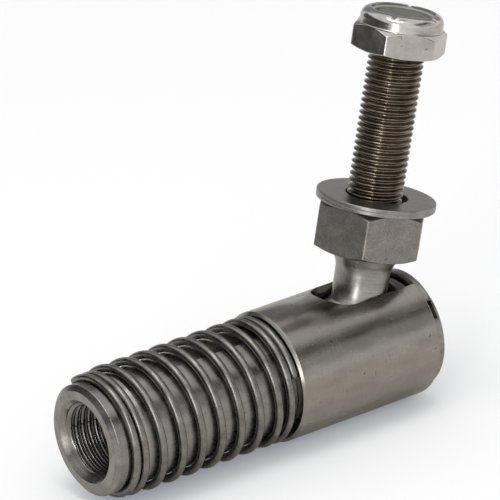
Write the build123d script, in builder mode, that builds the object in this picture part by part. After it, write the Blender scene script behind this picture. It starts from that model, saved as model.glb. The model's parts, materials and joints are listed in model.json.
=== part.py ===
from build123d import *
import os
from math import asin, cos, degrees, radians, sin, sqrt, tan

# Quick-release angle ball joint, in millimetres.  A turned bar carries a ball pocket near its nose and
# a tapped hole in its other end.  A slotted spring-loaded sleeve holds the ball stud in the pocket.
# The origin is the centre of the ball, +X points along the bar to its nose, +Z is the stud's side.

# bar
bar_d = 19.05
ball_to_mouth = 55.75
mouth_edge_l = 0.7
mouth_edge_r = 0.9
nose_l = 0.65
nose_edge = 0.3
rim_to_groove = 0.8825
bore_d = 11.5
bore_depth = 28.0
bore_mouth_edge = 1.4
drill_angle = 118.0

# seat of the spring's first coils
spring_land_l = 2.27
seat_depth = 0.325
seat_l = 3.1
seat_ramp_l = 1.2

# ball stud
ball_d = 15.875
neck_d = 9.45
flare_l = 2.85
hex_af = 17.46
hex_bottom = 15.3
hex_l = 8.25
hex_edge_angle = 26.0
hex_turn = -12.7
flare_angle = 25.0
thread_d = 9.49
thread_edge = 0.7
stud_l = 56.35
rest_tilt = 13.37

# sleeve
sleeve_wall = 1.795
sleeve_back = 19.1
sleeve_back_edge = 0.45
sleeve_front_edge = 0.2
slot_end = 7.3

# retaining ring
ring_h = 2.15
ring_w = 1.82
ring_round = 0.5
ring_groove_depth = 1.225
ring_gap = 3.4
ring_gap_at = 143.0

# spring
wire_d = 1.4
spring_turns = 10.3
spring_start = 52.0
coil_gap = 0.03
back_closed_turns = 1.0
back_opening_turns = 1.0
front_opening_turns = 0.7
front_closed_turns = 1.15

# washer
washer_od = 20.4
washer_t = 1.4
washer_edge = 0.45
washer_shift = (0.26, -0.21)

# lock nut
nut_af = 14.29
nut_hex_l = 4.6
nut_l = 7.2
nut_foot_edge = 0.745
nut_turn = -26.2
nut_edge_angle = 36.0
collar_step = 0.12
collar_wall = 1.0
collar_round = 1.6
insert_l = 1.9
insert_drop = 0.4
nut_over_stud = 0.5

# clearances
sleeve_clear = 0.08
ball_clear = 0.05
pocket_clear = 0.2
pocket_edge = 0.46
slot_clear = 0.125
ring_seat_clear = 0.05
ring_face_clear = 0.08
ring_groove_clear = 0.45
coil_seat_clear = 0.05
coil_bar_clear = 0.125
spring_face_clear = 0.02
washer_clear = 0.605
thread_clear = 0.02
lip_clear = 0.705
insert_clear = 0.02
face_clear = 0.01

# sizes that follow
bar_r = bar_d / 2
ball_r = ball_d / 2
neck_r = neck_d / 2
thread_r = thread_d / 2
wire_r = wire_d / 2
neck_l = hex_bottom - flare_l
sleeve_bore_r = bar_r + sleeve_clear
sleeve_r = sleeve_bore_r + sleeve_wall
slot_r = neck_r + slot_clear
pocket_r = ball_r + pocket_clear
groove_back = pocket_r + pocket_edge + rim_to_groove
groove_r = bar_r - ring_groove_depth
ring_back = groove_back + ring_groove_clear
ring_front = ring_back + ring_w
ring_bore_r = groove_r + ring_seat_clear
ring_r = ring_bore_r + ring_h
groove_front = ring_front + ring_seat_clear
ball_to_nose = groove_front + nose_l
sleeve_front = ring_back - ring_face_clear
seat_r = bar_r - seat_depth
seat_back = spring_land_l - ball_to_mouth
seat_front = seat_back + seat_l
hex_r = hex_af / sqrt(3)
hex_top = hex_bottom + hex_l
washer_bottom = hex_top + face_clear
nut_r = nut_af / sqrt(3)
nut_foot_r = nut_af / 2 - nut_foot_edge
nut_top = stud_l + nut_over_stud
nut_bottom = nut_top - nut_l
nut_bore_r = thread_r + thread_clear
collar_r = nut_af / 2 - collar_step
lip_r = thread_r + lip_clear

# The slot is narrower than the ball.  The ball stands as high over the bar's axis as the inner edges
# of the slot let it.
ball_rise = sqrt(sleeve_bore_r**2 - slot_r**2) - sqrt((ball_r + ball_clear) ** 2 - slot_r**2)

# axes and section planes: local x along the bar or out from the stud, local y out or up
bar_axis = Axis((0, 0, -ball_rise), (1, 0, 0))
bar_section = Plane(origin=(0, 0, -ball_rise), x_dir=(1, 0, 0), z_dir=(0, -1, 0))
tilt = radians(rest_tilt)
stud_axis = Axis((0, 0, 0), (sin(tilt), 0, cos(tilt)))
stud_base = Plane(origin=(0, 0, 0), x_dir=(cos(tilt), 0, -sin(tilt)), z_dir=(sin(tilt), 0, cos(tilt)))
stud_section = Plane(origin=(0, 0, 0), x_dir=(cos(tilt), 0, -sin(tilt)), z_dir=(0, -1, 0))

os.makedirs("parts", exist_ok=True)

# Socket body: the bar with its spring seat, ring groove, tapped hole and ball pocket.
with BuildPart() as socket_body:
    with BuildSketch(bar_section):
        with BuildLine():
            Polyline(
                (-ball_to_mouth, 0),
                (-ball_to_mouth, bar_r - mouth_edge_r),
                (mouth_edge_l - ball_to_mouth, bar_r),
                (seat_back, bar_r),
                (seat_back, seat_r),
                (seat_front, seat_r),
                (seat_front + seat_ramp_l, bar_r),
                (groove_back, bar_r),
                (groove_back, groove_r),
                (groove_front, groove_r),
                (groove_front, bar_r),
                (ball_to_nose - nose_edge, bar_r),
                (ball_to_nose, bar_r - nose_edge),
                (ball_to_nose, 0),
                close=True,
            )
        make_face()
    revolve(axis=bar_axis)
    # tapped hole, drawn at its minor diameter, with a countersunk mouth and a drill point
    mouth_plane = Plane(origin=(-ball_to_mouth, 0, -ball_rise), x_dir=(0, 1, 0), z_dir=(-1, 0, 0))
    with Locations(mouth_plane):
        CounterSinkHole(bore_d / 2, bore_d / 2 + bore_mouth_edge, depth=bore_depth, counter_sink_angle=90)
    drill_tip_l = bore_d / 2 / tan(radians(drill_angle / 2))
    with Locations(mouth_plane.offset(-bore_depth)):
        Cone(
            0,
            bore_d / 2,
            drill_tip_l,
            align=(Align.CENTER, Align.CENTER, Align.MAX),
            mode=Mode.SUBTRACT,
        )
    # ball pocket: a round seat under the ball, straight walls over it and an eased rim
    bar_top = bar_r - ball_rise
    Sphere(ball_r + ball_clear, mode=Mode.SUBTRACT)
    with BuildSketch(Plane.XY):
        Circle(pocket_r)
    extrude(amount=bar_r, mode=Mode.SUBTRACT)
    with Locations((0, 0, bar_top - pocket_edge)):
        Cone(
            pocket_r,
            pocket_r + 2 * pocket_edge,
            2 * pocket_edge,
            align=(Align.CENTER, Align.CENTER, Align.MIN),
            mode=Mode.SUBTRACT,
        )
socket_body.part.label = "socket_body"
export_step(socket_body.part, "parts/socket_body.step")

# Release sleeve: a tube whose slot keeps the ball in and lets the neck through.
with BuildPart() as release_sleeve:
    with BuildSketch(bar_section):
        with BuildLine():
            Polyline(
                (-sleeve_back, sleeve_bore_r),
                (-sleeve_back, sleeve_r - sleeve_back_edge),
                (sleeve_back_edge - sleeve_back, sleeve_r),
                (sleeve_front - sleeve_front_edge, sleeve_r),
                (sleeve_front, sleeve_r - sleeve_front_edge),
                (sleeve_front, sleeve_bore_r),
                close=True,
            )
        make_face()
    revolve(axis=bar_axis)
    with BuildSketch(Plane.XY):
        with Locations((slot_r - slot_end, 0)):
            Circle(slot_r)
            Rectangle(slot_end + sleeve_front, 2 * slot_r, align=(Align.MIN, Align.CENTER))
    extrude(amount=2 * sleeve_r, mode=Mode.SUBTRACT)
release_sleeve.part.label = "release_sleeve"
export_step(release_sleeve.part, "parts/release_sleeve.step")

# Return spring: round wire wound right-handed, closed at both ends.  Its first coils are smaller and
# sit in the bar's seat.
coil_pitch = wire_d + coil_gap
coil_first_x = seat_back + wire_r + spring_face_clear
coil_last_x = -sleeve_back - wire_r - spring_face_clear
seat_coil_r = seat_r + coil_seat_clear + wire_r
open_coil_r = bar_r + coil_bar_clear + wire_r
open_turns = spring_turns - back_closed_turns - front_closed_turns
open_turns -= (back_opening_turns + front_opening_turns) / 2
extra_pitch = (coil_last_x - coil_first_x - coil_pitch * spring_turns) / open_turns


def opened(turn):
    """Open turns wound before this turn, each opening counted as a straight rise."""
    into = min(max(turn - back_closed_turns, 0), back_opening_turns)
    wound = into**2 / 2 / back_opening_turns
    opening_end = back_closed_turns + back_opening_turns
    closing_start = spring_turns - front_closed_turns - front_opening_turns
    wound += min(max(turn - opening_end, 0), closing_start - opening_end)
    past = min(max(turn - closing_start, 0), front_opening_turns)
    return wound + past - past**2 / 2 / front_opening_turns


def coil_point(turn):
    """Centre of the wire after so many turns."""
    grown = min(max(turn - back_closed_turns, 0) / back_opening_turns, 1)
    radius = seat_coil_r + (open_coil_r - seat_coil_r) * grown**2 * (3 - 2 * grown)
    angle = radians(spring_start) + radians(360) * turn
    x = coil_first_x + coil_pitch * turn + extra_pitch * opened(turn)
    return (x, radius * cos(angle), radius * sin(angle) - ball_rise)


points_per_turn = 16
coil_steps = round(spring_turns * points_per_turn)
coil_points = [coil_point(spring_turns * i / coil_steps) for i in range(coil_steps + 1)]
with BuildPart() as return_spring:
    with BuildLine() as coil_line:
        Spline(*coil_points)
    with BuildSketch(coil_line.line ^ 0):
        Circle(wire_r)
    sweep(path=coil_line.line, is_frenet=True)
return_spring.part.label = "return_spring"
export_step(return_spring.part, "parts/return_spring.step")

# Retaining ring: a split ring in the nose groove that stops the sleeve.
ring_gap_angle = degrees(2 * asin(ring_gap / 2 / ring_r))
ring_start = radians(ring_gap_at + ring_gap_angle / 2)
ring_section = Plane(
    origin=(0, 0, -ball_rise), x_dir=(1, 0, 0), z_dir=(0, -sin(ring_start), cos(ring_start))
)
with BuildPart() as retaining_ring:
    with BuildSketch(ring_section):
        with Locations((ring_back, ring_bore_r)):
            Rectangle(ring_w, ring_h, align=(Align.MIN, Align.MIN))
    revolve(axis=bar_axis, revolution_arc=360 - ring_gap_angle)
    ring_rims = retaining_ring.edges().filter_by(GeomType.CIRCLE).group_by(SortBy.RADIUS)[-1]
    fillet(ring_rims, radius=ring_round)
retaining_ring.part.label = "retaining_ring"
export_step(retaining_ring.part, "parts/retaining_ring.step")

# Ball stud: ball, neck, flare, hexagon and threaded shank in one forging.  The thread is drawn as a
# plain shank over its crests.
with BuildPart() as ball_stud:
    Sphere(ball_r)
    flare_r = neck_r + (hex_bottom - neck_l) * tan(radians(flare_angle))
    with BuildSketch(stud_section):
        with BuildLine():
            Polyline(
                (0, 0),
                (neck_r, 0),
                (neck_r, neck_l),
                (flare_r, hex_bottom),
                (flare_r, hex_top),
                (thread_r, hex_top),
                (thread_r, stud_l - thread_edge),
                (thread_r - thread_edge, stud_l),
                (0, stud_l),
                close=True,
            )
        make_face()
    revolve(axis=stud_axis)
with BuildPart() as stud_hex:
    with BuildSketch(stud_base.offset(hex_bottom)):
        RegularPolygon(hex_r, 6, rotation=hex_turn)
    extrude(amount=hex_l)
    # both ends of the hexagon are turned off at a shallow angle
    hex_edge = (hex_r - hex_af / 2) * tan(radians(hex_edge_angle))
    with BuildSketch(stud_section):
        with BuildLine():
            Polyline(
                (0, hex_bottom),
                (hex_af / 2, hex_bottom),
                (hex_r, hex_bottom + hex_edge),
                (hex_r, hex_top - hex_edge),
                (hex_af / 2, hex_top),
                (0, hex_top),
                close=True,
            )
        make_face()
    revolve(axis=stud_axis, mode=Mode.INTERSECT)
with ball_stud:
    add(stud_hex.part)
ball_stud.part.label = "ball_stud"
export_step(ball_stud.part, "parts/ball_stud.step")

# Flat washer: lies on the hexagon, a little off centre in its own clearance.
with BuildPart() as flat_washer:
    with BuildSketch(stud_base.offset(washer_bottom)):
        with Locations(washer_shift):
            Circle(washer_od / 2)
            Circle(thread_r + washer_clear, mode=Mode.SUBTRACT)
    extrude(amount=washer_t)
    washer_rims = flat_washer.edges().filter_by(GeomType.CIRCLE).group_by(SortBy.RADIUS)[-1]
    fillet(washer_rims, radius=washer_edge)
flat_washer.part.label = "flat_washer"
export_step(flat_washer.part, "parts/flat_washer.step")

# Lock nut: a thin hexagon with a rolled collar round its insert.
with BuildPart() as lock_nut:
    with BuildSketch(stud_base.offset(nut_bottom)):
        RegularPolygon(nut_r, 6, rotation=nut_turn)
    extrude(amount=nut_hex_l)
    nut_slope = tan(radians(nut_edge_angle))
    nut_hex_top = nut_bottom + nut_hex_l
    with BuildSketch(stud_section):
        with BuildLine():
            Polyline(
                (0, nut_bottom),
                (nut_foot_r, nut_bottom),
                (nut_r, nut_bottom + (nut_r - nut_foot_r) * nut_slope / 2),
                (nut_r, nut_hex_top - (nut_r - nut_af / 2) * nut_slope),
                (nut_af / 2, nut_hex_top),
                (0, nut_hex_top),
                close=True,
            )
        make_face()
    revolve(axis=stud_axis, mode=Mode.INTERSECT)
    # collar with its lip rolled in over the insert
    insert_top = nut_top - insert_drop
    insert_bottom = insert_top - insert_l
    with BuildSketch(stud_section):
        with BuildLine():
            Line((0, nut_hex_top - collar_wall), (collar_r, nut_hex_top - collar_wall))
            Line((collar_r, nut_hex_top - collar_wall), (collar_r, nut_top - collar_round))
            RadiusArc(
                (collar_r, nut_top - collar_round),
                (collar_r - collar_round, nut_top),
                -collar_round,
            )
            Line((collar_r - collar_round, nut_top), (0, nut_top))
            Line((0, nut_top), (0, nut_hex_top - collar_wall))
        make_face()
    revolve(axis=stud_axis)
    insert_pocket_r = collar_r - collar_wall
    with BuildSketch(stud_section):
        with BuildLine():
            Polyline(
                (0, nut_bottom),
                (nut_bore_r, nut_bottom),
                (nut_bore_r, insert_bottom),
                (insert_pocket_r, insert_bottom),
                (insert_pocket_r, insert_top),
                (lip_r, insert_top),
                (lip_r, nut_top),
                (0, nut_top),
                close=True,
            )
        make_face()
    revolve(axis=stud_axis, mode=Mode.SUBTRACT)
lock_nut.part.label = "lock_nut"
export_step(lock_nut.part, "parts/lock_nut.step")

# Nut insert: the nylon ring that grips the thread.
with BuildPart() as nut_insert:
    with BuildSketch(stud_base.offset(insert_bottom + insert_clear)):
        Circle(insert_pocket_r - insert_clear)
        Circle(nut_bore_r, mode=Mode.SUBTRACT)
    extrude(amount=insert_l - 2 * insert_clear)
nut_insert.part.label = "nut_insert"
export_step(nut_insert.part, "parts/nut_insert.step")
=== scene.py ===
import bmesh
import bpy
import json
import numpy as np
from math import cos, pi, radians, sin, tan
from mathutils import Euler, Matrix, Vector


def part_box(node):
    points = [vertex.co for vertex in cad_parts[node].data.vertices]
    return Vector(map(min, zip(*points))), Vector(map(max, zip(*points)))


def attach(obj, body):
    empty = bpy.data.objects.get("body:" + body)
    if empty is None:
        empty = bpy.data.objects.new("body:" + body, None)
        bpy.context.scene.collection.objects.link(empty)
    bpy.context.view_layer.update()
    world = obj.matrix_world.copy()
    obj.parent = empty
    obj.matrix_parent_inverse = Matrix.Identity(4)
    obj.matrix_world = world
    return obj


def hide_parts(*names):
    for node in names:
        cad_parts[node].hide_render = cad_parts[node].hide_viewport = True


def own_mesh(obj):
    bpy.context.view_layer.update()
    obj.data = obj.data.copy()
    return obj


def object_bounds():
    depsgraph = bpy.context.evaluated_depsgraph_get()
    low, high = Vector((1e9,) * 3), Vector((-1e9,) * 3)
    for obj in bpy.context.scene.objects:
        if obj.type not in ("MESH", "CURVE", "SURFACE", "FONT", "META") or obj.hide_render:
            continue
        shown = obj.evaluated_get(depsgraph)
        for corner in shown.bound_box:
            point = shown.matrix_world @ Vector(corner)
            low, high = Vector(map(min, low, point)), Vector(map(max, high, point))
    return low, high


# Quick-release angle ball joint. Shapes are worked out in millimetres and written to the meshes in metres.
# Every outline is a list of (h, r): height along the piece's own axis and radius round it.

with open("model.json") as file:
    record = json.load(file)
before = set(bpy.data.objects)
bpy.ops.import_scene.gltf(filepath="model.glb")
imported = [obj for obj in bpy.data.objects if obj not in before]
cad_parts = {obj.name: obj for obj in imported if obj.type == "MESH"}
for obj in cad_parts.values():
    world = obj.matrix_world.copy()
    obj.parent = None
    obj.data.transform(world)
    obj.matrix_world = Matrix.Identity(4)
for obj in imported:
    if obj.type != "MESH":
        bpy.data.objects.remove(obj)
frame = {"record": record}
cadLow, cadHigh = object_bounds()
mm = 0.001


def cadBox(node):
    # lowest and highest corner of a CAD node, in millimetres
    low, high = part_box(node)
    return np.array(low) / mm, np.array(high) / mm


mounts = {m["name"]: m for m in frame["record"]["mounts"]}
bodyLow, bodyHigh = cadBox("socket_body")
sleeveLow, sleeveHigh = cadBox("release_sleeve")
ringLow, ringHigh = cadBox("retaining_ring")
springLow, springHigh = cadBox("return_spring")
barZ = mounts["thread_bore"]["pos_m"][2] / mm
barR = (bodyHigh[1] - bodyLow[1]) / 2
sleeveR = (sleeveHigh[1] - sleeveLow[1]) / 2
studUp = np.array(mounts["ball_center"]["axis"])
studSide = np.array([studUp[2], 0, -studUp[0]])
acrossY = np.array([0, 1.0, 0])
acrossZ = np.array([0, 0, 1.0])
alongX = np.array([1.0, 0, 0])
barCentre = np.array([0, 0, barZ])
ballCentre = np.zeros(3)


def eased(corners, radii, steps=5):
    # Each corner of an outline becomes an arc that touches both of its sides, with a point before and after
    # it that keeps the sides flat. Arc: corner - tangent*in + radius*(sin(a)*in + (1 - cos(a))*towards).
    corners = np.array(corners, float)
    radii = np.array(radii, float)[:, None]
    into = np.diff(corners, axis=0)
    into /= np.linalg.norm(into, axis=1)[:, None]
    before, after, corner = into[:-1], into[1:], corners[1:-1]
    turn = np.arccos(np.clip((before * after).sum(1), -1, 1))[:, None]
    towards = (after - before * np.cos(turn)) / np.maximum(np.sin(turn), 1e-9)
    tangent = radii * np.tan(turn / 2)
    angles = turn * np.linspace(0, 1, steps)
    arcs = (corner - tangent * before)[:, None]
    arcs = arcs + radii[:, None] * (np.sin(angles)[..., None] * before[:, None]
                                    + (1 - np.cos(angles))[..., None] * towards[:, None])
    hold = radii * 0.4
    lead = (corner - (tangent + hold) * before)[:, None]
    trail = (corner + (tangent + hold) * after)[:, None]
    rounded = np.concatenate([lead, arcs, trail], axis=1).reshape(-1, 2)
    return np.concatenate([corners[:1], rounded, corners[-1:]])


def spun(h, r, centre, up, side, turns=None):
    # point = centre + h*up + r*(cos(a)*side + sin(a)*(up x side)); h and r may change with the angle a
    across = np.cross(up, side)
    a = np.linspace(0, 2 * pi, h.shape[1], endpoint=False) if turns is None else turns
    ring = np.cos(a)[None, :, None] * side + np.sin(a)[None, :, None] * across
    return centre + h[..., None] * up + r[..., None] * ring


def rowsOf(outline, columns):
    # a turned outline as grids of h and r, the same at every angle
    outline = np.array(outline, float)
    return np.repeat(outline[:, :1], columns, 1), np.repeat(outline[:, 1:], columns, 1)


def stacked(*parts):
    # grids of h and r put one after the other
    return np.concatenate([p[0] for p in parts]), np.concatenate([p[1] for p in parts])


def meshPiece(name, points, body, node, finishes, slots=None, closeRound=True):
    # a grid of points becomes quads; its last column meets its first, poles and seams are merged
    rows, columns = points.shape[:2]
    r = np.arange(rows - 1)[:, None] * columns
    c = np.arange(columns if closeRound else columns - 1)[None, :]
    n = (c + 1) % columns
    quads = np.stack([r + c, r + n, r + columns + n, r + columns + c], -1).reshape(-1, 4)
    mesh = bpy.data.meshes.new(name)
    mesh.from_pydata((points.reshape(-1, 3) * mm).tolist(), [], quads.tolist())
    for finish in finishes:
        mesh.materials.append(finish)
    if slots is not None:
        mesh.polygons.foreach_set("material_index", np.repeat(slots, c.size).astype(np.int32))
    clean = bmesh.new()
    clean.from_mesh(mesh)
    bmesh.ops.remove_doubles(clean, verts=clean.verts, dist=2e-7)
    bmesh.ops.recalc_face_normals(clean, faces=clean.faces)
    clean.to_mesh(mesh)
    clean.free()
    mesh.polygons.foreach_set("use_smooth", np.ones(len(mesh.polygons), bool))
    piece = bpy.data.objects.new(name, mesh)
    bpy.context.scene.collection.objects.link(piece)
    if body:
        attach(piece, body)
    if node:
        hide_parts(node)
    return piece


def cutBy(piece, cutter, sharpAngle=60):
    # takes the cutter's space out of the piece and keeps the new edges crisp
    knife = piece.modifiers.new("cut", "BOOLEAN")
    knife.operation = "DIFFERENCE"
    knife.solver = "EXACT"
    knife.object = cutter
    bpy.context.view_layer.update()
    shaped = bpy.data.meshes.new_from_object(piece.evaluated_get(bpy.context.evaluated_depsgraph_get()))
    piece.modifiers.clear()
    shaped.polygons.foreach_set("use_smooth", np.ones(len(shaped.polygons), bool))
    shaped.set_sharp_from_angle(angle=radians(sharpAngle))
    piece.data = shaped
    bpy.data.objects.remove(cutter)
    return piece


def hexRadius(a, acrossFlats, turn, softness):
    # six flats joined by soft corners: r = half / (sum of cos(a - face)^softness)^(1/softness)
    faces = radians(turn + 30) + np.arange(6)[:, None] * pi / 3
    lean = np.maximum(np.cos(a[None, :] - faces), 0) ** softness
    return acrossFlats / 2 / lean.sum(0) ** (1 / softness)


def hexRise(length, lowEdge, highEdge, lowRows, highRows):
    # heights up a hexagon: even steps over each turned-off edge and six rows between them
    between = np.linspace(lowEdge, length - highEdge, 8)[1:-1]
    return np.concatenate([np.linspace(0, lowEdge, lowRows), between,
                           np.linspace(length - highEdge, length, highRows)])[:, None]


def softLeast(softness, *radii):
    # the smallest of several radii, blended where they cross: (sum of r^-softness)^(-1/softness)
    return sum(np.broadcast_arrays(*[r ** -float(softness) for r in radii])) ** (-1 / softness)


def threadRows(start, end, pitch, crest, root, crestShare, rootShare, perTurn, columns, soft=0.12):
    # rows that climb one pitch a turn; over a pitch the radius runs along crest, flank, root and flank
    turns = int(np.ceil((end - start) / pitch)) + 1
    t = np.linspace(-1, turns, (turns + 1) * perTurn + 1)
    a = np.arange(columns) / columns
    h = np.clip(start + pitch * (t[:, None] + a[None, :]), start, end)
    wave = np.abs((t % 1) - 0.5) * 2
    flank = np.clip((wave - rootShare) / (1 - crestShare - rootShare), 0, 1)
    flank = flank * (1 - soft) + soft * flank * flank * (3 - 2 * flank)
    r = root + (crest - root) * flank
    return h, np.repeat(r[:, None], columns, 1)


def wire(tree, kind, values=None, **links):
    # a node with its socket values, and links from other nodes' outputs
    node = tree.nodes.new(kind)
    for key, value in (values or {}).items():
        if isinstance(key, str) and hasattr(node, key):
            setattr(node, key, value)
        else:
            node.inputs[key].default_value = value
    for key, source in links.items():
        tree.links.new(source, node.inputs[int(key[1:]) if key[1:].isdigit() else key])
    return node


def steelFinish(name, place, look):
    # bare steel: tone between dark and light by the stains, times (1 +- streaks) by the turning marks,
    # times (1 +- speckle) by the grain, times the pits; relief = marks + grainShare*grain
    material = bpy.data.materials.new(name)
    material.use_nodes = True
    tree = material.node_tree
    shader = tree.nodes["Principled BSDF"]
    whole = wire(tree, "ShaderNodeTexCoord").outputs["Object"]
    stand = {"vector_type": "TEXTURE", "Location": place[0], "Rotation": place[1]}
    local = wire(tree, "ShaderNodeMapping", stand, Vector=whole).outputs[0]
    marksAt = wire(tree, "ShaderNodeMapping", {"Scale": look["marks"]}, Vector=local).outputs[0]
    marks = wire(tree, "ShaderNodeTexNoise", {"Scale": 1.0, "Detail": 6.0, "Roughness": 0.65},
                 Vector=marksAt).outputs[0]
    stainAt = wire(tree, "ShaderNodeMapping", {"Scale": look["stains"]}, Vector=local).outputs[0]
    stains = wire(tree, "ShaderNodeTexNoise", {"Scale": 1.0, "Detail": 4.0, "Roughness": 0.55},
                  Vector=stainAt).outputs[0]
    grain = wire(tree, "ShaderNodeTexNoise", {"Scale": look["grain"], "Detail": 3.0, "Roughness": 0.6},
                 Vector=local).outputs[0]
    tone = wire(tree, "ShaderNodeValToRGB", _0=stains)
    tone.color_ramp.elements[0].position = 0.3
    tone.color_ramp.elements[0].color = (*look["dark"], 1)
    tone.color_ramp.elements[1].position = 0.7
    tone.color_ramp.elements[1].color = (*look["light"], 1)
    least, most = 1 - look["streaks"], 1 + look["streaks"]
    streak = wire(tree, "ShaderNodeMapRange", {1: 0.3, 2: 0.7, 3: least, 4: most}, _0=marks).outputs[0]
    least, most = 1 - look["speckle"], 1 + look["speckle"]
    speckle = wire(tree, "ShaderNodeMapRange", {1: 0.35, 2: 0.65, 3: least, 4: most}, _0=grain).outputs[0]
    pitNoise = wire(tree, "ShaderNodeTexNoise", {"Scale": look["pits"], "Detail": 2.0},
                    Vector=local).outputs[0]
    pits = wire(tree, "ShaderNodeMapRange", {1: 0.70, 2: 0.76, 3: 1.0, 4: 0.35}, _0=pitNoise).outputs[0]
    wear = wire(tree, "ShaderNodeMath", {"operation": "MULTIPLY"}, _0=streak, _1=speckle).outputs[0]
    wear = wire(tree, "ShaderNodeMath", {"operation": "MULTIPLY"}, _0=wear, _1=pits).outputs[0]
    shade = wire(tree, "ShaderNodeVectorMath", {"operation": "SCALE"}, _0=tone.outputs[0],
                 Scale=wear).outputs[0]
    tree.links.new(shade, shader.inputs["Base Color"])
    rough = wire(tree, "ShaderNodeMapRange", {1: 0.3, 2: 0.7, 3: look["rough"][0], 4: look["rough"][1]},
                 _0=stains).outputs[0]
    tree.links.new(rough, shader.inputs["Roughness"])
    height = wire(tree, "ShaderNodeMath", {"operation": "MULTIPLY_ADD", 1: look["grainShare"]}, _0=grain,
                  _2=marks)
    bump = wire(tree, "ShaderNodeBump", {"Strength": 1.0, "Distance": look["depth"] * mm},
                Height=height.outputs[0])
    tree.links.new(bump.outputs[0], shader.inputs["Normal"])
    shader.inputs["Metallic"].default_value = 1.0
    return material


def nylonFinish(name, look):
    # moulded nylon: dull, a little mottled
    material = bpy.data.materials.new(name)
    material.use_nodes = True
    tree = material.node_tree
    shader = tree.nodes["Principled BSDF"]
    place = wire(tree, "ShaderNodeTexCoord").outputs["Object"]
    mottle = wire(tree, "ShaderNodeTexNoise", {"Scale": look["mottle"], "Detail": 3.0},
                  Vector=place).outputs[0]
    tone = wire(tree, "ShaderNodeValToRGB", _0=mottle)
    tone.color_ramp.elements[0].color = (*look["dark"], 1)
    tone.color_ramp.elements[1].color = (*look["light"], 1)
    tree.links.new(tone.outputs[0], shader.inputs["Base Color"])
    bump = wire(tree, "ShaderNodeBump", {"Strength": 0.4, "Distance": 0.02 * mm}, Height=mottle)
    tree.links.new(bump.outputs[0], shader.inputs["Normal"])
    shader.inputs["Roughness"].default_value = look["rough"]
    return material


# where a finish starts and how it turns: its x follows the bar or the stud
barPlace = (0, 0, barZ * mm), (0, 0, 0)
studPlace = (0, 0, 0), (0, -(pi / 2 - np.arctan2(studUp[0], studUp[2])), 0)

finishes = {
    "bar": steelFinish("turned bar", barPlace, {
        "marks": (5200, 160, 160), "stains": (220, 500, 500), "pits": 1500,
        "grain": 5000, "grainShare": 0.5, "speckle": 0.10, "dark": (0.215, 0.205, 0.19),
        "light": (0.31, 0.30, 0.28), "streaks": 0.14, "rough": (0.22, 0.36), "depth": 0.008}),
    "bore": steelFinish("tapped bore", barPlace, {
        "marks": (500, 300, 300), "stains": (300, 400, 400), "pits": 1500,
        "grain": 3000, "grainShare": 0.4, "speckle": 0.05, "dark": (0.17, 0.163, 0.15),
        "light": (0.25, 0.24, 0.225), "streaks": 0.08, "rough": (0.18, 0.28), "depth": 0.002}),
    "sleeve": steelFinish("ground sleeve", barPlace, {
        "marks": (4200, 260, 260), "stains": (140, 420, 420), "pits": 1300,
        "grain": 6000, "grainShare": 0.8, "speckle": 0.06, "dark": (0.255, 0.238, 0.212),
        "light": (0.325, 0.306, 0.276), "streaks": 0.08, "rough": (0.20, 0.30), "depth": 0.005}),
    "spring": steelFinish("spring wire", barPlace, {
        "marks": (700, 700, 700), "stains": (500, 500, 500), "pits": 1600,
        "grain": 6000, "grainShare": 0.7, "speckle": 0.10, "dark": (0.16, 0.152, 0.137),
        "light": (0.26, 0.25, 0.235), "streaks": 0.12, "rough": (0.22, 0.34), "depth": 0.006}),
    "stud": steelFinish("forged hexagon", studPlace, {
        "marks": (600, 600, 600), "stains": (420, 420, 420), "pits": 1700,
        "grain": 4200, "grainShare": 1.6, "speckle": 0.20, "dark": (0.20, 0.193, 0.178),
        "light": (0.275, 0.262, 0.24), "streaks": 0.08, "rough": (0.30, 0.42), "depth": 0.02}),
    "neck": steelFinish("turned neck", studPlace, {
        "marks": (5200, 240, 240), "stains": (300, 420, 420), "pits": 1700,
        "grain": 4200, "grainShare": 0.5, "speckle": 0.08, "dark": (0.25, 0.243, 0.225),
        "light": (0.34, 0.332, 0.31), "streaks": 0.16, "rough": (0.24, 0.34), "depth": 0.012}),
    "thread": steelFinish("rolled thread", studPlace, {
        "marks": (3000, 220, 220), "stains": (300, 500, 500), "pits": 1700,
        "grain": 5000, "grainShare": 0.6, "speckle": 0.12, "dark": (0.10, 0.083, 0.062),
        "light": (0.235, 0.205, 0.16), "streaks": 0.16, "rough": (0.15, 0.26), "depth": 0.005}),
    "studEnd": steelFinish("sheared stud end", studPlace, {
        "marks": (900, 900, 900), "stains": (600, 600, 600), "pits": 1700,
        "grain": 5000, "grainShare": 0.8, "speckle": 0.08, "dark": (0.22, 0.225, 0.20),
        "light": (0.32, 0.33, 0.30), "streaks": 0.08, "rough": (0.4, 0.55), "depth": 0.01}),
    "washer": steelFinish("tumbled washer", studPlace, {
        "marks": (700, 700, 700), "stains": (420, 420, 420), "pits": 1700,
        "grain": 4200, "grainShare": 1.4, "speckle": 0.14, "dark": (0.235, 0.225, 0.215),
        "light": (0.33, 0.32, 0.31), "streaks": 0.08, "rough": (0.28, 0.40), "depth": 0.012}),
    "nut": steelFinish("polished nut", studPlace, {
        "marks": (300, 900, 900), "stains": (350, 350, 350), "pits": 1500,
        "grain": 3500, "grainShare": 0.6, "speckle": 0.05, "dark": (0.42, 0.40, 0.38),
        "light": (0.56, 0.54, 0.515), "streaks": 0.07, "rough": (0.12, 0.24), "depth": 0.005}),
    "nylon": nylonFinish("nut nylon", {
        "mottle": 1400.0, "dark": (0.24, 0.25, 0.22), "light": (0.38, 0.39, 0.35), "rough": 0.4}),
}
print("finishes ready")


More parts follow.
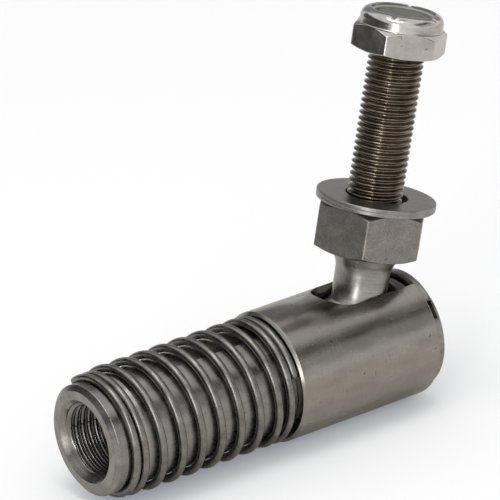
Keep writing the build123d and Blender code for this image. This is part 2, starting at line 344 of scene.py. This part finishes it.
barLook = {
    "columns": 256, "edgeL": 0.7, "edgeR": 0.9, "land": 2.27, "seatDepth": 0.325, "seatL": 3.1, "rampL": 1.2,
    "grooveClear": 0.45, "grooveDepth": 1.225, "seatClear": 0.05, "noseEdge": 0.3,
    "boreR": 5.75, "boreRootR": 6.36, "borePitch": 1.27, "boreDepth": 28.0, "threadL": 25.5, "sinkR": 7.15,
    "drillHalf": 59, "crestShare": 0.14, "rootShare": 0.3, "perTurn": 10, "fadeTurns": 2,
    "pocketClear": 0.2, "ballClear": 0.05, "pocketEdge": 0.46, "ballR": 7.9375,
}


def makeBar(look):
    # turned outline from the bottom of the tapped hole, round the mouth and along the outside to the nose;
    # the thread's depth fades over its last turns, and the countersink bounds it: r >= sinkR - (h - mouth)
    columns, mouth, nose = look["columns"], bodyLow[0], bodyHigh[0]
    boreEnd = mouth + look["boreDepth"]
    sinkRow = look["sinkR"] - look["boreRootR"]
    threadEnd = mouth + look["threadL"]
    drillTip = boreEnd + look["boreR"] / tan(radians(look["drillHalf"]))
    deep = rowsOf(eased([(drillTip, 0), (boreEnd, look["boreR"]), (threadEnd, look["boreR"])], [0.3]),
                  columns)
    h, r = threadRows(mouth + sinkRow, threadEnd, look["borePitch"], look["boreRootR"], look["boreR"],
                      look["crestShare"], look["rootShare"], look["perTurn"], columns)
    fade = np.clip((threadEnd - h) / (look["fadeTurns"] * look["borePitch"]), 0, 1)
    r = look["boreR"] + (r - look["boreR"]) * fade
    r = np.maximum(r, look["sinkR"] - (h - mouth))
    tapped = h[::-1], r[::-1]
    seat = mouth + look["land"]
    grooveBack = ringLow[0] - look["grooveClear"]
    grooveFront = ringHigh[0] + look["seatClear"]
    grooveR = barR - look["grooveDepth"]
    seatR = barR - look["seatDepth"]
    corners = [
        (mouth + sinkRow, look["boreRootR"]), (mouth, look["sinkR"]), (mouth, barR - look["edgeR"]),
        (mouth + look["edgeL"], barR), (seat, barR), (seat, seatR), (seat + look["seatL"], seatR),
        (seat + look["seatL"] + look["rampL"], barR), (grooveBack, barR), (grooveBack, grooveR),
        (grooveFront, grooveR), (grooveFront, barR), (nose - look["noseEdge"], barR),
        (nose, barR - look["noseEdge"]), (nose, 0)]
    rounds = [0.1, 0.12, 0.2, 0.06, 0.06, 0.3, 0.3, 0.08, 0.15, 0.15, 0.06, 0.08, 0.08]
    outside = rowsOf(eased(corners, rounds), columns)
    h, r = stacked(deep, tapped, outside)
    slots = (np.arange(len(h) - 1) < len(deep[0]) + len(tapped[0]) - 1).astype(int)
    points = spun(h, r, barCentre, alongX, acrossY)
    bar = meshPiece("socket_bar", points, "socket", "socket_body",
                    [finishes["bar"], finishes["bore"]], slots)
    return cutBy(bar, pocketCutter(look))


def pocketCutter(look):
    # ball-shaped floor, straight wall and flared rim, turned about the line through the ball and the slot
    seatR = look["ballR"] + look["ballClear"]
    wallR = look["ballR"] + look["pocketClear"]
    rimZ = barZ + barR - look["pocketEdge"]
    bottom = np.linspace(0, pi / 2, 40)
    floor = np.stack([-seatR * np.cos(bottom), seatR * np.sin(bottom)], 1)
    flare = [(0.01, wallR), (rimZ, wallR), (rimZ + 3, wallR + 3), (rimZ + 3, 0)]
    h, r = rowsOf(np.concatenate([floor, flare]), 192)
    return meshPiece("pocket cutter", spun(h, r, ballCentre, acrossZ, alongX), None, None, [])


sleeveLook = {"columns": 320, "boreClear": 0.08, "backEdge": 0.45, "frontEdge": 0.2, "seamIn": 5,
              "slotR": 4.85, "slotEnd": 7.3, "slotEdge": 0.16, "sharpAngle": 50}


def makeSleeve(look):
    # the tube's closed section turned round the bar, its seam inside the bore, and the slot cut out of it
    back, front = sleeveLow[0], sleeveHigh[0]
    boreR, seam = barR + look["boreClear"], back + look["seamIn"]
    corners = [(seam, boreR), (back, boreR), (back, sleeveR - look["backEdge"]),
               (back + look["backEdge"], sleeveR), (front - look["frontEdge"], sleeveR),
               (front, sleeveR - look["frontEdge"]), (front, boreR), (seam, boreR)]
    h, r = rowsOf(eased(corners, [0.1, 0.12, 0.15, 0.1, 0.08, 0.1]), look["columns"])
    sleeve = meshPiece("slotted_sleeve", spun(h, r, barCentre, alongX, acrossY), "sleeve",
                       "release_sleeve", [finishes["sleeve"]])
    return cutBy(sleeve, slotCutter(look), look["sharpAngle"])


def slotCutter(look):
    # U-shaped outline carried up; its last rows follow the sleeve's surface and open outwards as an edge
    turn = np.linspace(pi / 2, 3 * pi / 2, 61)
    along = look["slotR"] * np.cos(turn) + look["slotR"] - look["slotEnd"]
    side = look["slotR"] * np.sin(turn)
    run = np.linspace(sleeveHigh[0] + 3, along[0], 12)[:-1]
    x = np.concatenate([run, along, run[::-1]])
    y = np.concatenate([run * 0 + side[0], side, run * 0 + side[-1]])
    outX = np.concatenate([run * 0, np.cos(turn), run * 0])
    outY = np.concatenate([run * 0 + 1, np.sin(turn), run * 0 - 1])
    top = barZ + np.sqrt(sleeveR ** 2 - y ** 2)
    edge = look["slotEdge"]
    wideX, wideY = x + 3 * edge * outX, y + 3 * edge * outY
    levels = [(x, y, top * 0), (x, y, top - edge), (wideX, wideY, top + 2 * edge),
              (wideX, wideY, top * 0 + sleeveR + 4)]
    walls = np.stack([np.stack(level, -1) for level in levels])
    middle = np.array([2.0, 0, 0])
    floor, lid = walls[:1] * [0, 0, 1] + middle, walls[-1:] * [0, 0, 1] + middle
    return meshPiece("slot cutter", np.concatenate([floor, walls, lid]), None, None, [])


ringLook = {"rows": 220, "gapL": 3.4, "gapAt": 143.0, "edge": 0.5, "innerEdge": 0.15, "endEdge": 0.12,
            "endScale": (0, 0.9, 1.0, 0.97, 1.0), "endAt": (0, 0, 0, 0.35, 1.0)}


def makeRing(look):
    # rounded section carried round the bar; over endEdge each end scales it by endScale, to a closed face
    outer = (ringHigh[1] - ringLow[1]) / 2
    inner = barR - barLook["grooveDepth"] + barLook["seatClear"]
    back, front = ringLow[0], ringHigh[0]
    middle = (back + front) / 2
    corners = [(middle, inner), (back, inner), (back, outer), (front, outer), (front, inner),
               (middle, inner)]
    section = eased(corners, [look["innerEdge"], look["edge"], look["edge"], look["innerEdge"]], 8)[:-1]
    gap = 2 * np.arcsin(look["gapL"] / 2 / outer)
    first = radians(look["gapAt"]) + gap / 2
    sweep = np.linspace(first, first + 2 * pi - gap, look["rows"])
    tuck = np.array(look["endAt"]) * look["endEdge"] / outer
    turn = np.concatenate([sweep[0] + tuck, sweep[1:-1], sweep[-1] - tuck[::-1]])
    scale = np.concatenate([look["endScale"], np.ones(look["rows"] - 2), look["endScale"][::-1]])
    centre = np.array([middle, (inner + outer) / 2])
    shape = centre + (section - centre)[None] * scale[:, None, None]
    ring = np.cos(turn)[:, None, None] * acrossY + np.sin(turn)[:, None, None] * acrossZ
    points = barCentre + shape[..., :1] * alongX + shape[..., 1:] * ring
    return meshPiece("snap_ring", points, "socket", "retaining_ring", [finishes["bar"]])


springLook = {"wireR": 0.7, "turns": 10.3, "startAt": 52.0, "gap": 0.03, "seatClear": 0.05,
              "backClosed": 1.0, "backOpening": 1.0, "frontOpening": 0.7, "frontClosed": 1.15,
              "perTurn": 72, "around": 20, "endShrink": (0, 0.86, 0.96)}


def coilLine(t, look):
    # x rises a closed pitch a turn, plus the open pitch for each open turn wound, an opening being a ramp;
    # the radius grows from the seat's coils to the open ones by 3g^2 - 2g^3 over the opening turn
    first, last = springLow[0] + look["wireR"], springHigh[0] - look["wireR"]
    closed = 2 * look["wireR"] + look["gap"]
    opening, closing = look["backOpening"], look["frontOpening"]
    openTurns = look["turns"] - look["backClosed"] - look["frontClosed"] - (opening + closing) / 2
    extra = (last - first - closed * look["turns"]) / openTurns
    rising = np.clip(t - look["backClosed"], 0, opening)
    openEnd = look["backClosed"] + opening
    closeStart = look["turns"] - look["frontClosed"] - closing
    steady = np.clip(t - openEnd, 0, closeStart - openEnd)
    falling = np.clip(t - closeStart, 0, closing)
    wound = rising ** 2 / 2 / opening + steady + falling - falling ** 2 / 2 / closing
    x = first + closed * t + extra * wound
    grown = rising / opening
    seatR = barR - barLook["seatDepth"] + look["seatClear"] + look["wireR"]
    openR = (springHigh[1] - springLow[1]) / 2 - look["wireR"]
    radius = seatR + (openR - seatR) * grown ** 2 * (3 - 2 * grown)
    a = radians(look["startAt"]) + 2 * pi * t
    return x, radius, a


def makeSpring(look):
    # a circle carried along the coil, across its path, and closed at both cut ends:
    # point = line + wireR*shrink*(cos(w)*outward + sin(w)*sideways)
    wound = np.linspace(0, look["turns"], int(look["turns"] * look["perTurn"]))
    t = np.concatenate([[wound[0]] * 3, wound, [wound[-1]] * 3])
    shrink = np.concatenate([look["endShrink"], np.ones(len(wound)), look["endShrink"][::-1]])
    x, radius, a = coilLine(t, look)
    outward = np.stack([a * 0, np.cos(a), np.sin(a)], 1)
    line = barCentre + x[:, None] * alongX + radius[:, None] * outward
    step = 1e-4
    x2, radius2, a2 = coilLine(t + step, look)
    x1, radius1, a1 = coilLine(t - step, look)
    ahead = np.stack([x2 - x1, radius2 * np.cos(a2) - radius1 * np.cos(a1),
                      radius2 * np.sin(a2) - radius1 * np.sin(a1)], 1)
    ahead /= np.linalg.norm(ahead, axis=1)[:, None]
    sideways = np.cross(ahead, outward)
    sideways /= np.linalg.norm(sideways, axis=1)[:, None]
    outward = np.cross(sideways, ahead)
    w = np.linspace(0, 2 * pi, look["around"], endpoint=False)
    circle = np.cos(w)[None, :, None] * outward[:, None] + np.sin(w)[None, :, None] * sideways[:, None]
    points = line[:, None] + look["wireR"] * shrink[:, None, None] * circle
    spring = meshPiece("coil_spring", points, "socket", "return_spring",
                       [finishes["spring"]])
    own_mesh(spring)
    return spring


studLook = {
    "columns": 384, "threadColumns": 120, "perTurn": 14, "ballR": 7.9375, "neckR": 4.725, "neckL": 12.45,
    "neckRound": 4.0, "flareR": 6.05, "hexBottom": 15.3, "hexL": 8.25, "hexAcross": 17.46, "hexTurn": -12.7,
    "hexSoftness": 80, "edgeSoftness": 220, "footEdge": 26.0, "topEdge": 36.0, "topR": 8.6, "edgeRows": 22,
    "threadR": 4.745, "rootR": 4.1, "pitch": 1.058, "crestShare": 0.12, "rootShare": 0.2, "studL": 56.35,
    "endEdge": 0.7, "endFaceR": 3.0,
}


def makeForging(look):
    # one grid of rows: ball, neck, flare and hexagon, closed by the disc under the thread; the hexagon's
    # radius is the least of its flats and two edges: half + rise/slope and topR + (hexL - rise)/slope
    columns = look["columns"]
    a = np.linspace(0, 2 * pi, columns, endpoint=False)
    leave = pi - np.arcsin(look["neckR"] / look["ballR"])
    b = np.linspace(0, leave, 60)
    ball = rowsOf(np.stack([-look["ballR"] * np.cos(b), look["ballR"] * np.sin(b)], 1), columns)
    half = look["hexAcross"] / 2
    hexTop = look["hexBottom"] + look["hexL"]
    neck = rowsOf(eased([(-look["ballR"] * cos(leave), look["neckR"]), (look["neckL"], look["neckR"]),
                         (look["hexBottom"], look["flareR"]), (look["hexBottom"], half * 0.98)],
                        [look["neckRound"], 0.3], 9), columns)
    footSlope, topSlope = tan(radians(look["footEdge"])), tan(radians(look["topEdge"]))
    edge = 1.3 * ((half / cos(pi / 6) - look["topR"]) * topSlope)  # a little past the edge's reach
    rise = hexRise(look["hexL"], edge, edge, look["edgeRows"], look["edgeRows"])
    flats = hexRadius(a, look["hexAcross"], look["hexTurn"], look["hexSoftness"])[None, :]
    sides = softLeast(look["edgeSoftness"], np.repeat(flats, len(rise), 0), half + rise / footSlope,
                      look["topR"] + (look["hexL"] - rise) / topSlope)
    hexagon = np.repeat(look["hexBottom"] + rise, columns, 1), sides
    shoulder = rowsOf([(hexTop, look["topR"] * 0.99), (hexTop, look["rootR"] + 0.4), (hexTop, 0)], columns)
    h, r = stacked(ball, neck, hexagon, shoulder)
    slots = (np.arange(len(h) - 1) < len(ball[0]) + len(neck[0]) - 2).astype(int)
    return meshPiece("forged_ball_stud", spun(h, r, ballCentre, studUp, studSide), "stud",
                     "ball_stud", [finishes["stud"], finishes["neck"]], slots)


def makeThread(look):
    # the thread's climbing rows, closed at both ends: by the hexagon r <= rootR + (h - hexTop)/1.5,
    # and at the stud's end r <= threadR - endEdge + (studL - h)
    columns = look["threadColumns"]
    hexTop = look["hexBottom"] + look["hexL"]
    h, r = threadRows(hexTop, look["studL"], look["pitch"], look["threadR"], look["rootR"],
                      look["crestShare"], look["rootShare"], look["perTurn"], columns)
    pointed = look["threadR"] - look["endEdge"] + (look["studL"] - h)
    r = np.minimum(r, np.maximum(pointed, look["rootR"] - 0.1))
    r = np.minimum(r, look["rootR"] + np.maximum(h - hexTop, 0) / 1.5)
    root = rowsOf([(hexTop - 0.3, 0), (hexTop - 0.3, look["rootR"])], columns)
    tip = rowsOf([(look["studL"], look["threadR"] - look["endEdge"]), (look["studL"], look["endFaceR"]),
                  (look["studL"], 0)], columns)
    h, r = stacked(root, (h, r), tip)
    slots = np.zeros(len(h) - 1, int)
    slots[-2:] = 1
    return meshPiece("stud_thread", spun(h, r, ballCentre, studUp, studSide), "stud",
                     "ball_stud", [finishes["thread"], finishes["studEnd"]], slots)


washerLook = {"columns": 256, "bottom": 23.56, "thick": 1.4, "outerR": 10.2, "holeR": 5.345,
              "shift": (0.26, -0.21), "edge": 0.22, "seam": 0.06}


def makeWasher(look):
    # a flat closed section with eased edges and a faint line round its rim, off centre on the stud by shift
    low, high = look["bottom"], look["bottom"] + look["thick"]
    middle = (low + high) / 2
    seam, rim = look["seam"], look["outerR"]
    corners = [(middle, look["holeR"]), (low, look["holeR"]), (low, rim), (middle - 2 * seam, rim),
               (middle, rim - seam), (middle + 2 * seam, rim), (high, rim), (high, look["holeR"]),
               (middle, look["holeR"])]
    rounds = [0.15, look["edge"], 0.05, 0.04, 0.05, look["edge"], 0.15]
    h, r = rowsOf(eased(corners, rounds, 9), look["columns"])
    centre = ballCentre + look["shift"][0] * studSide + look["shift"][1] * acrossY
    return meshPiece("plain_washer", spun(h, r, centre, studUp, studSide), "stud",
                     "flat_washer", [finishes["washer"]])


nutLook = {
    "columns": 384, "bottom": 49.65, "hexL": 4.6, "nutL": 7.2, "across": 14.29, "turn": -26.2,
    "softness": 46, "edgeSoftness": 160, "footR": 6.4, "edge": 36.0, "footRise": 0.8, "topRise": 1.1,
    "footRows": 14, "topRows": 24,
    "collarR": 7.025, "collarRound": 1.6, "lipR": 5.45, "boreR": 4.765, "insertL": 1.9, "insertDrop": 0.4,
    "insertClear": 0.02, "insertColumns": 192, "wall": 1.0, "nicksAt": (106.0, 39.0, -72.0, -144.0),
    "nickDeep": 0.26, "nickWide": 3.5, "nickFrom": 0.7, "nickFade": 0.6,
}


def makeNut(look):
    # hexagon rows between a flat foot and a steep chamfer, then the collar, its rolled lip and the bore
    columns = look["columns"]
    a = np.linspace(0, 2 * pi, columns, endpoint=False)
    low, hexTop, top = look["bottom"], look["bottom"] + look["hexL"], look["bottom"] + look["nutL"]
    half = look["across"] / 2
    slope = tan(radians(look["edge"]))
    rise = hexRise(look["hexL"], look["footRise"], look["topRise"], look["footRows"], look["topRows"])
    flats = hexRadius(a, look["across"], look["turn"], look["softness"])[None, :]
    sides = softLeast(look["edgeSoftness"], np.repeat(flats, len(rise), 0), look["footR"] + rise * 2 / slope,
                      half + (look["hexL"] - rise) / slope)
    hexagon = np.repeat(low + rise, columns, 1), sides
    foot = rowsOf([(low, look["boreR"]), (low, look["boreR"] + 0.3), (low, look["footR"] - 0.2)], columns)
    turn = np.linspace(0, pi / 2, 14)
    dome = np.stack([top - look["collarRound"] + look["collarRound"] * np.sin(turn),
                     look["collarR"] - look["collarRound"] * (1 - np.cos(turn))], 1)
    insertTop = top - look["insertDrop"]
    pocketR = look["collarR"] - look["wall"]
    lip = [(top - 0.12, look["lipR"] - 0.05), (insertTop, look["lipR"]), (insertTop, pocketR),
           (insertTop - look["insertL"], pocketR), (insertTop - look["insertL"], look["boreR"]),
           (low, look["boreR"])]
    shoulder = [(hexTop, look["collarR"] + 0.25), (hexTop + 0.1, look["collarR"] + 0.04),
                (hexTop + 0.25, look["collarR"])]
    collar = rowsOf(np.concatenate([shoulder, dome, lip]), columns)
    h, r = stacked(foot, hexagon, collar)
    # crimp nicks in the lip: height drops by nickDeep*e^-(angle/nickWide)^2, fading out below the lip
    away = np.degrees(a)[None, :] - np.array(look["nicksAt"])[:, None]
    away = (away + 180) % 360 - 180
    nicks = np.exp(-(away / look["nickWide"]) ** 2).sum(0)
    fading = np.clip((h - (top - look["nickFrom"])) / look["nickFade"], 0, 1)
    h = h - look["nickDeep"] * nicks[None, :] * fading
    return meshPiece("hex_lock_nut", spun(h, r, ballCentre, studUp, studSide), "stud",
                     "lock_nut", [finishes["nut"]])


def makeInsert(look):
    # nylon ring that fills the nut's pocket, with a softly crowned top
    clear = look["insertClear"]
    top = look["bottom"] + look["nutL"] - look["insertDrop"] - clear
    low = top - look["insertL"] + 2 * clear
    outer = look["collarR"] - look["wall"] - clear
    corners = [(low, outer), (top, outer), (top, look["boreR"]), (low, look["boreR"]), (low, outer)]
    h, r = rowsOf(eased(corners, [0.05, 0.25, 0.05]), look["insertColumns"])
    return meshPiece("nylon_ring", spun(h, r, ballCentre, studUp, studSide), "stud", "nut_insert",
                     [finishes["nylon"]])


makeBar(barLook)
print("bar ready")
makeSleeve(sleeveLook)
makeRing(ringLook)
print("sleeve and ring ready")
makeSpring(springLook)
makeForging(studLook)
makeThread(studLook)
print("spring and stud ready")
makeWasher(washerLook)
makeNut(nutLook)
makeInsert(nutLook)
print("washer and nut ready")


studioLook = {
    "worldSeen": 1.0, "worldLight": 0.75, "floorHalf": 3.0, "floorDrop": 0.00002,
    "floorTone": (0.80, 0.775, 0.74), "floorGlow": (0.17, 0.195, 0.23),
    "cameraAim": (-9.565, 15.34, 13.70), "cameraTurn": -35.836,
    "cameraRise": 23.073, "cameraRoll": -2.72, "cameraAway": 691.56, "lens": 292.88, "sensor": 36,
    # lamps and cards: azimuth and elevation from the ball, in degrees, then distance, size and power or tone
    "lamps": [
        ("top lamp", -50, 78, 0.9, (0, 0, 0), (0.5, 0.5), 2.5),
        ("strip lamp", -54, 14, 0.7, (0, 0, 0.02), (0.045, 0.5), 1.1),
    ],
    "cards": [
        ("right card", 46, 40, 0.6, (0.6, 0.17), (0.07, 0.07, 0.065)),
        ("right low card", 46, 22, 0.6, (0.6, 0.16), (0.55, 0.55, 0.54)),
        ("back card", 140, 29, 0.6, (0.8, 0.50), (0.30, 0.30, 0.30)),
        ("left card", -124, 10, 0.6, (1.4, 0.62), (0.09, 0.09, 0.095)),
        ("top card", 20, 80, 0.6, (0.4, 0.16), (0.55, 0.55, 0.55)),
    ],
}


def makeFloor(look):
    # a pale square just under the part; its glow, seen by the camera alone, brings it up to white
    size = look["floorHalf"]
    mesh = bpy.data.meshes.new("floor")
    z = cadLow[2] - look["floorDrop"]
    corners = [(-size, -size, z), (size, -size, z), (size, size, z), (-size, size, z)]
    mesh.from_pydata(corners, [], [(0, 1, 2, 3)])
    material = bpy.data.materials.new("pale floor")
    material.use_nodes = True
    tree = material.node_tree
    shader = tree.nodes["Principled BSDF"]
    shader.inputs["Base Color"].default_value = (*look["floorTone"], 1)
    shader.inputs["Roughness"].default_value = 0.9
    shader.inputs["Emission Color"].default_value = (*look["floorGlow"], 1)
    seen = wire(tree, "ShaderNodeLightPath").outputs["Is Camera Ray"]
    tree.links.new(seen, shader.inputs["Emission Strength"])
    mesh.materials.append(material)
    floor = bpy.data.objects.new("floor", mesh)
    bpy.context.scene.collection.objects.link(floor)


def makeWorld(look):
    # white where it is seen directly, in a reflection or through glass, and plain soft light elsewhere
    world = bpy.data.worlds.new("studio")
    bpy.context.scene.world = world
    world.use_nodes = True
    tree = world.node_tree
    path = wire(tree, "ShaderNodeLightPath")
    seen = wire(tree, "ShaderNodeMath", {"operation": "MAXIMUM"}, _0=path.outputs["Is Camera Ray"],
                _1=path.outputs["Is Glossy Ray"])
    seen = wire(tree, "ShaderNodeMath", {"operation": "MAXIMUM"}, _0=seen.outputs[0],
                _1=path.outputs["Is Transmission Ray"])
    strength = wire(tree, "ShaderNodeMapRange", {3: look["worldLight"], 4: look["worldSeen"]},
                    _0=seen.outputs[0])
    tree.links.new(strength.outputs[0], tree.nodes["Background"].inputs["Strength"])
    tree.nodes["Background"].inputs["Color"].default_value = (1, 1, 1, 1)


def makeLamp(name, turn, rise, away, aim, size, watts):
    # a rectangular soft box that faces its aim
    lamp = bpy.data.lights.new(name, "AREA")
    lamp.shape = "RECTANGLE"
    lamp.size, lamp.size_y = size
    lamp.energy = watts
    box = bpy.data.objects.new(name, lamp)
    bpy.context.scene.collection.objects.link(box)
    box.location = aimed(turn, rise, away)
    box.rotation_euler = (Vector(aim) - box.location).to_track_quat("-Z", "Y").to_euler()


def aimed(turn, rise, away):
    # a place at that azimuth, elevation and distance from the ball
    az, el = radians(turn), radians(rise)
    return Vector((sin(az) * cos(el), -cos(az) * cos(el), sin(el))) * away


def makeCard(name, turn, rise, away, size, tone):
    # a grey card that only reflections see, turned to face the ball
    w, h = size[0] / 2, size[1] / 2
    mesh = bpy.data.meshes.new(name)
    mesh.from_pydata([(-w, -h, 0), (w, -h, 0), (w, h, 0), (-w, h, 0)], [], [(0, 1, 2, 3)])
    material = bpy.data.materials.new(name)
    material.use_nodes = True
    tree = material.node_tree
    tree.nodes.remove(tree.nodes["Principled BSDF"])
    paint = wire(tree, "ShaderNodeEmission", {"Color": (*tone, 1), "Strength": 1.0})
    tree.links.new(paint.outputs[0], tree.nodes["Material Output"].inputs["Surface"])
    mesh.materials.append(material)
    card = bpy.data.objects.new(name, mesh)
    bpy.context.scene.collection.objects.link(card)
    place = aimed(turn, rise, away)
    card.matrix_world = Matrix.Translation(place) @ place.to_track_quat("Z", "Y").to_matrix().to_4x4()
    card.visible_camera = card.visible_diffuse = card.visible_shadow = card.visible_transmission = False


def makeCamera(look):
    # looks level along its turn and rise, rolled about its own axis, from cameraAway behind cameraAim
    data = bpy.data.cameras.new("camera")
    camera = bpy.data.objects.new("camera", data)
    bpy.context.scene.collection.objects.link(camera)
    data.lens, data.sensor_width = look["lens"], look["sensor"]
    data.clip_start, data.clip_end = 0.01, 20
    az, el, roll = (radians(look[k]) for k in ("cameraTurn", "cameraRise", "cameraRoll"))
    back = Vector((sin(az) * cos(el), -cos(az) * cos(el), sin(el)))
    level = Euler((pi / 2 - el, 0, az)).to_matrix()
    camera.matrix_world = (Matrix.Translation((Vector(look["cameraAim"]) + back * look["cameraAway"]) * mm)
                           @ (level @ Matrix.Rotation(roll, 3, "Z")).to_4x4())
    bpy.context.scene.camera = camera


makeFloor(studioLook)
makeWorld(studioLook)
for lamp in studioLook["lamps"]:
    makeLamp(*lamp)
for card in studioLook["cards"]:
    makeCard(*card)
makeCamera(studioLook)
bpy.context.scene.view_settings.view_transform = "Standard"
